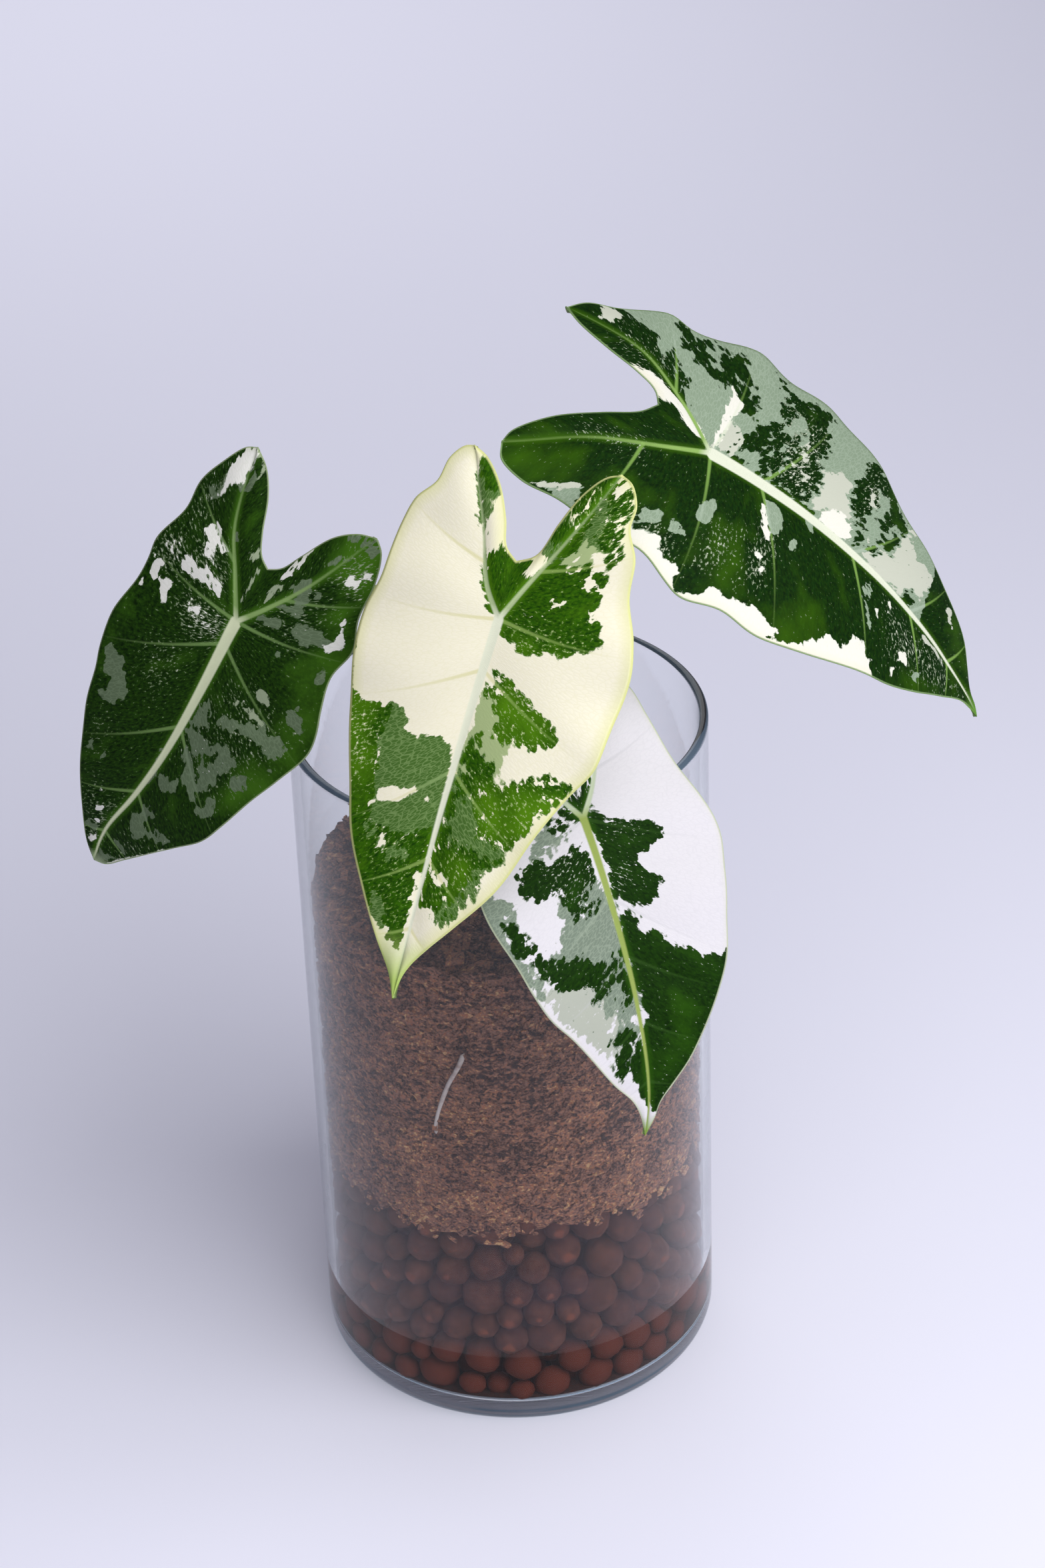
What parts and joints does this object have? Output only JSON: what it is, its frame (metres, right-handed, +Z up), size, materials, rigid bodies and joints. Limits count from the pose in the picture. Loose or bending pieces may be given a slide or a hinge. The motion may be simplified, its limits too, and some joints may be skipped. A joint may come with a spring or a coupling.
{
  "type": "potted variegated green velvet alocasia",
  "caption": "Variegated velvet-leaved alocasia growing in bark over clay pebbles in a clear glass cylinder; arrow-shaped blades on petioles from a short rhizome.",
  "frame": {"origin": "centre of the vase's flat foot, on the surface that it stands on", "axes": "+Z up along the vase's axis; the front leaf faces -Y, and +X is to the viewer's right"},
  "size_m": [0.2951, 0.201, 0.3887],
  "materials": {
    "clear_glass": "polished",
    "fired_clay": "matte",
    "bark_and_coir": "matte",
    "rhizome_bark": "matte",
    "root_skin": "satin",
    "petiole_skin": "satin",
    "velvet_leaf": "satin"
  },
  "bodies": {
    "root": {"glass_vase": "clear_glass", "clay_pebbles": "fired_clay", "bark_substrate": "bark_and_coir", "rhizome": "rhizome_bark", "root_at_glass": "root_skin", "root_left": "root_skin", "root_back": "root_skin", "petiole_front": "petiole_skin", "petiole_low": "petiole_skin", "petiole_left": "petiole_skin", "petiole_right": "petiole_skin", "leaf_front": "velvet_leaf", "leaf_low": "velvet_leaf", "leaf_left": "velvet_leaf", "leaf_right": "velvet_leaf"}
  },
  "joints": []
}
